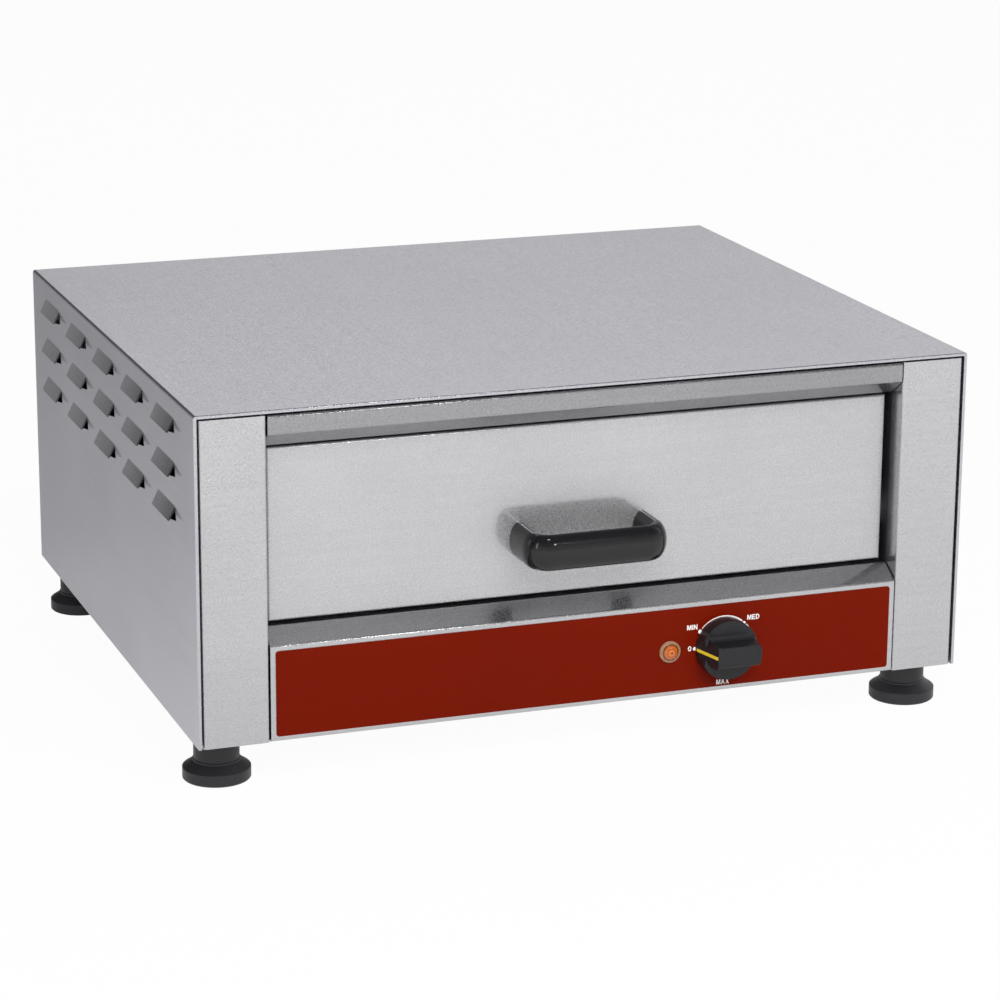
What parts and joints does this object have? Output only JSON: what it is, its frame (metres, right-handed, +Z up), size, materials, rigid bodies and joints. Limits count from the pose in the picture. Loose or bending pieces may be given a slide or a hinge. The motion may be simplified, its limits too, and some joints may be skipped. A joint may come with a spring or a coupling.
{
  "type": "bun warmer",
  "caption": "Counter-top steel bun warmer: louvred cabinet on levelling feet, one heated roller drawer with a bow handle, thermostat knob and pilot lamp.",
  "frame": {"origin": "on the ground under the middle of the bounding box", "axes": "+X to the right seen from the front, +Y to the back, +Z up"},
  "size_m": [0.5546, 0.5024, 0.2565],
  "materials": {
    "stainless_steel": "brushed, satin",
    "inner_steel": "mill finish",
    "runner_steel": "zinc plated, dull",
    "plated_steel": "zinc plated, bright",
    "red_film": "satin printed film",
    "lamp_ring": "translucent brown, smooth",
    "amber_lens": "smooth, tinted",
    "grey_plastic": "moulded",
    "white_plastic": "moulded",
    "knob_plastic": "satin moulded",
    "yellow_mark": "painted line",
    "handle_plastic": "high gloss",
    "foot_plastic": "satin moulded",
    "black_nylon": "moulded",
    "white_nylon": "moulded",
    "element_sheath": "heat darkened",
    "ceramic": "unglazed",
    "copper_tube": "bare copper",
    "brass": "turned",
    "wire_sleeve": "silicone sleeve"
  },
  "bodies": {
    "cabinet": {"outer_casing": "stainless_steel", "left_pillar": "stainless_steel", "right_pillar": "stainless_steel", "top_rail": "stainless_steel", "control_panel": "stainless_steel", "rear_panel": "stainless_steel", "base_plate": "inner_steel", "chamber_shell": "inner_steel", "chamber_back": "inner_steel", "chamber_floor": "inner_steel", "left_runner": "runner_steel", "right_runner": "runner_steel", "control_label": "red_film", "lamp_bezel": "lamp_ring", "lamp_lens": "amber_lens", "lamp_body": "grey_plastic", "heating_element": "element_sheath", "element_supports": "inner_steel", "element_insulators": "ceramic", "element_terminals": "plated_steel", "thermostat_body": "grey_plastic", "thermostat_screws": "plated_steel", "thermostat_sensor": "copper_tube", "bulb_clips": "inner_steel", "terminal_block": "white_plastic", "cable_gland": "black_nylon", "gland_dome_nut": "black_nylon", "gland_locknut": "black_nylon", "earth_stud": "brass", "internal_wiring": "wire_sleeve", "front_roller_pins": "plated_steel", "runner_rivets": "plated_steel", "foot_nuts": "plated_steel", "rear_panel_screws": "plated_steel", "base_screws": "plated_steel"},
    "knob": {"control_knob": "knob_plastic", "knob_pointer": "yellow_mark", "thermostat_shaft": "plated_steel"},
    "drawer": {"drawer_front": "stainless_steel", "drawer_inner_skin": "inner_steel", "drawer_box": "inner_steel", "bun_tray": "inner_steel", "left_drawer_rail": "runner_steel", "right_drawer_rail": "runner_steel", "rear_roller_pins": "plated_steel", "drawer_rivets": "plated_steel", "drawer_handle": "handle_plastic", "handle_screws": "plated_steel"},
    "front_left_wheel": {"front_left_roller": "white_nylon"},
    "rear_left_wheel": {"rear_left_roller": "white_nylon"},
    "front_right_wheel": {"front_right_roller": "white_nylon"},
    "rear_right_wheel": {"rear_right_roller": "white_nylon"},
    "front_left_leveller": {"front_left_foot": "foot_plastic", "front_left_stud": "plated_steel"},
    "front_right_leveller": {"front_right_foot": "foot_plastic", "front_right_stud": "plated_steel"},
    "rear_left_leveller": {"rear_left_foot": "foot_plastic", "rear_left_stud": "plated_steel"},
    "rear_right_leveller": {"rear_right_foot": "foot_plastic", "rear_right_stud": "plated_steel"}
  },
  "joints": [
    {"name": "drawer_slide", "type": "slide", "parent": "cabinet", "child": "drawer", "axis": [0, -1, 0], "range_m": [0, 0.35]},
    {"name": "knob_turn", "type": "hinge", "parent": "cabinet", "child": "knob", "pos_m": [0.096, -0.2248, 0.0652], "axis": [0, 1, 0], "range_deg": [0, 270]},
    {"name": "front_left_roll", "type": "hinge", "parent": "cabinet", "child": "front_left_wheel", "pos_m": [-0.2198, -0.1818, 0.1416], "axis": [1, 0, 0], "continuous": true},
    {"name": "rear_left_roll", "type": "hinge", "parent": "drawer", "child": "rear_left_wheel", "pos_m": [-0.2175, 0.1852, 0.1416], "axis": [1, 0, 0], "continuous": true},
    {"name": "front_right_roll", "type": "hinge", "parent": "cabinet", "child": "front_right_wheel", "pos_m": [0.2198, -0.1818, 0.1416], "axis": [1, 0, 0], "continuous": true},
    {"name": "rear_right_roll", "type": "hinge", "parent": "drawer", "child": "rear_right_wheel", "pos_m": [0.2175, 0.1852, 0.1416], "axis": [1, 0, 0], "continuous": true},
    {"name": "front_left_level", "type": "slide", "parent": "cabinet", "child": "front_left_leveller", "axis": [0, 0, -1], "range_m": [0, 0.012]},
    {"name": "front_right_level", "type": "slide", "parent": "cabinet", "child": "front_right_leveller", "axis": [0, 0, -1], "range_m": [0, 0.012]},
    {"name": "rear_left_level", "type": "slide", "parent": "cabinet", "child": "rear_left_leveller", "axis": [0, 0, -1], "range_m": [0, 0.012]},
    {"name": "rear_right_level", "type": "slide", "parent": "cabinet", "child": "rear_right_leveller", "axis": [0, 0, -1], "range_m": [0, 0.012]}
  ],
  "couplings": [
    {"joint": "front_left_roll", "follows": "drawer_slide", "rad_per_m": 147.06},
    {"joint": "rear_left_roll", "follows": "drawer_slide", "rad_per_m": 147.06},
    {"joint": "front_right_roll", "follows": "drawer_slide", "rad_per_m": 147.06},
    {"joint": "rear_right_roll", "follows": "drawer_slide", "rad_per_m": 147.06}
  ]
}
